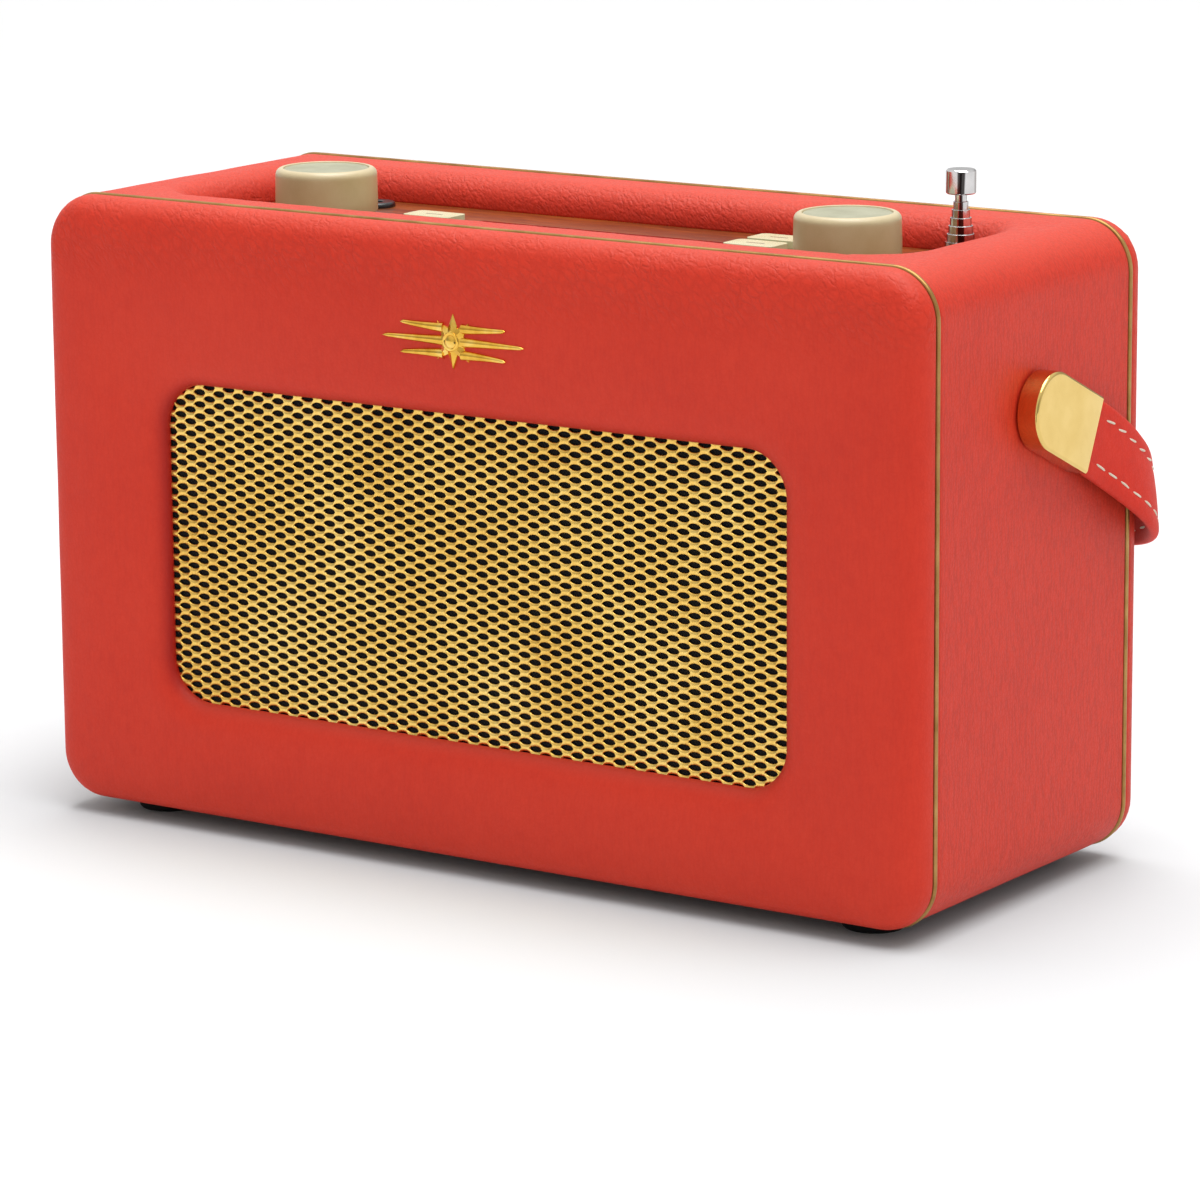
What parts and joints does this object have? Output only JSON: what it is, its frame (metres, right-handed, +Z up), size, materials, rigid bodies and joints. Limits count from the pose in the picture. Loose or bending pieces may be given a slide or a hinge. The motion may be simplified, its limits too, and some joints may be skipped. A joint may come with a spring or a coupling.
{
  "type": "portable radio",
  "caption": "Leather-wrapped portable table radio with a padded front, perforated metal grille, sunken top control panel, telescopic aerial and a swinging carrying strap.",
  "frame": {"origin": "on the ground plane, under the centre of the cabinet, on the underside of the middle foot pad", "axes": "+X to the right seen from the front, +Y from the front grille to the back, +Z up"},
  "size_m": [0.264, 0.1239, 0.1688],
  "materials": {
    "leather_band": "grained, satin",
    "leather_front": "padded, grained, satin",
    "leather_strap": "stitched, satin",
    "wood_shell": "raw plywood",
    "board": "raw fibreboard",
    "padding": "foam",
    "piping": "aged brass",
    "grille": "gold anodised",
    "cloth": "black cloth",
    "ornament": "polished gold",
    "basket": "black",
    "magnet": "ferrite",
    "cone": "pressed paper",
    "steel": "zinc plated",
    "veneer": "lacquered veneer",
    "window": "smoked, glossy",
    "lcd": "display",
    "pcb": "circuit board",
    "black_plastic": "fine texture",
    "sockets": "moulded",
    "knob": "satin beige",
    "knob_disc": "champagne",
    "key": "cream",
    "chrome": "polished",
    "cap_gold": "polished gold",
    "rubber": "matte",
    "cells": "sleeved"
  },
  "bodies": {
    "case": {"cabinet_shell": "wood_shell", "case_leather": "leather_band", "front_board": "board", "front_padding": "padding", "front_leather": "leather_front", "front_piping": "piping", "rear_board": "board", "rear_leather": "leather_band", "rear_piping": "piping", "grille_mesh": "grille", "grille_cloth": "cloth", "front_ornament": "ornament", "inner_baffle": "board", "speaker_basket": "basket", "speaker_magnet": "magnet", "speaker_cone": "cone", "speaker_screws": "steel", "control_panel": "veneer", "display_window": "window", "lcd_module": "lcd", "key_board": "pcb", "encoders": "steel", "headphone_socket": "black_plastic", "main_board": "pcb", "battery_box": "black_plastic", "battery_cells": "cells", "battery_contacts": "steel", "door_hinge_pin": "steel", "socket_plate": "black_plastic", "rear_sockets": "sockets", "feet": "rubber", "rear_screws": "steel", "aerial_well": "black_plastic", "strap_pivots": "steel", "strap_nuts": "steel"},
    "handle": {"carry_strap": "leather_strap", "strap_cap_left": "cap_gold", "strap_cap_right": "cap_gold"},
    "volume_knob": {"volume_knob": "knob", "volume_knob_disc": "knob_disc", "volume_shaft": "steel"},
    "tuning_rotor": {"tuning_rotor": "steel"},
    "tuning_knob": {"tuning_knob": "knob", "tuning_knob_disc": "knob_disc", "tuning_shaft": "steel"},
    "aerial_base": {"aerial_tube": "chrome"},
    "battery_door": {"battery_door": "black_plastic"},
    "key_left_rear": {"key_left_rear": "key"},
    "key_left_middle": {"key_left_middle": "key"},
    "key_left_front": {"key_left_front": "key"},
    "key_right_back": {"key_right_back": "key"},
    "key_right_rear": {"key_right_rear": "key"},
    "key_right_middle": {"key_right_middle": "key"},
    "key_right_front": {"key_right_front": "key"},
    "aerial_1": {"aerial_section_1": "chrome"},
    "aerial_2": {"aerial_section_2": "chrome"},
    "aerial_3": {"aerial_section_3": "chrome"},
    "aerial_4": {"aerial_section_4": "chrome"},
    "aerial_5": {"aerial_section_5": "chrome"},
    "aerial_6": {"aerial_section_6": "chrome"}
  },
  "joints": [
    {"name": "strap_swing", "type": "hinge", "parent": "case", "child": "handle", "pos_m": [0, 0, 0.118], "axis": [1, 0, 0], "range_deg": [-3, 229]},
    {"name": "volume_turn", "type": "hinge", "parent": "case", "child": "volume_knob", "pos_m": [-0.076, -0.001, 0.152], "axis": [0, 0, 1], "continuous": true},
    {"name": "tuning_turn", "type": "hinge", "parent": "case", "child": "tuning_rotor", "pos_m": [0.076, -0.001, 0.142], "axis": [0, 0, 1], "continuous": true},
    {"name": "tuning_push", "type": "slide", "parent": "tuning_rotor", "child": "tuning_knob", "axis": [0, 0, -1], "range_m": [0, 0.001], "stiffness_N_per_m": 800},
    {"name": "battery_door_hinge", "type": "hinge", "parent": "case", "child": "battery_door", "pos_m": [0, 0.0506, 0.018], "axis": [-1, 0, 0], "range_deg": [0, 90]},
    {"name": "aerial_swivel", "type": "hinge", "parent": "case", "child": "aerial_base", "pos_m": [0.093, 0.022, 0.09], "axis": [0, 0, 1], "continuous": true},
    {"name": "key_left_rear_press", "type": "slide", "parent": "case", "child": "key_left_rear", "axis": [0, 0, -1], "range_m": [0, 0.0008], "stiffness_N_per_m": 600},
    {"name": "key_left_middle_press", "type": "slide", "parent": "case", "child": "key_left_middle", "axis": [0, 0, -1], "range_m": [0, 0.0008], "stiffness_N_per_m": 600},
    {"name": "key_left_front_press", "type": "slide", "parent": "case", "child": "key_left_front", "axis": [0, 0, -1], "range_m": [0, 0.0008], "stiffness_N_per_m": 600},
    {"name": "key_right_back_press", "type": "slide", "parent": "case", "child": "key_right_back", "axis": [0, 0, -1], "range_m": [0, 0.0008], "stiffness_N_per_m": 600},
    {"name": "key_right_rear_press", "type": "slide", "parent": "case", "child": "key_right_rear", "axis": [0, 0, -1], "range_m": [0, 0.0008], "stiffness_N_per_m": 600},
    {"name": "key_right_middle_press", "type": "slide", "parent": "case", "child": "key_right_middle", "axis": [0, 0, -1], "range_m": [0, 0.0008], "stiffness_N_per_m": 600},
    {"name": "key_right_front_press", "type": "slide", "parent": "case", "child": "key_right_front", "axis": [0, 0, -1], "range_m": [0, 0.0008], "stiffness_N_per_m": 600},
    {"name": "aerial_pull", "type": "slide", "parent": "aerial_base", "child": "aerial_1", "axis": [0, 0, 1], "range_m": [0, 0.095]},
    {"name": "aerial_slide_2", "type": "slide", "parent": "aerial_1", "child": "aerial_2", "axis": [0, 0, 1], "range_m": [0, 0.095]},
    {"name": "aerial_slide_3", "type": "slide", "parent": "aerial_2", "child": "aerial_3", "axis": [0, 0, 1], "range_m": [0, 0.095]},
    {"name": "aerial_slide_4", "type": "slide", "parent": "aerial_3", "child": "aerial_4", "axis": [0, 0, 1], "range_m": [0, 0.095]},
    {"name": "aerial_slide_5", "type": "slide", "parent": "aerial_4", "child": "aerial_5", "axis": [0, 0, 1], "range_m": [0, 0.095]},
    {"name": "aerial_slide_6", "type": "slide", "parent": "aerial_5", "child": "aerial_6", "axis": [0, 0, 1], "range_m": [0, 0.095]}
  ],
  "couplings": [
    {"joint": "aerial_slide_2", "follows": "aerial_pull", "ratio": 1},
    {"joint": "aerial_slide_3", "follows": "aerial_pull", "ratio": 1},
    {"joint": "aerial_slide_4", "follows": "aerial_pull", "ratio": 1},
    {"joint": "aerial_slide_5", "follows": "aerial_pull", "ratio": 1},
    {"joint": "aerial_slide_6", "follows": "aerial_pull", "ratio": 1}
  ]
}
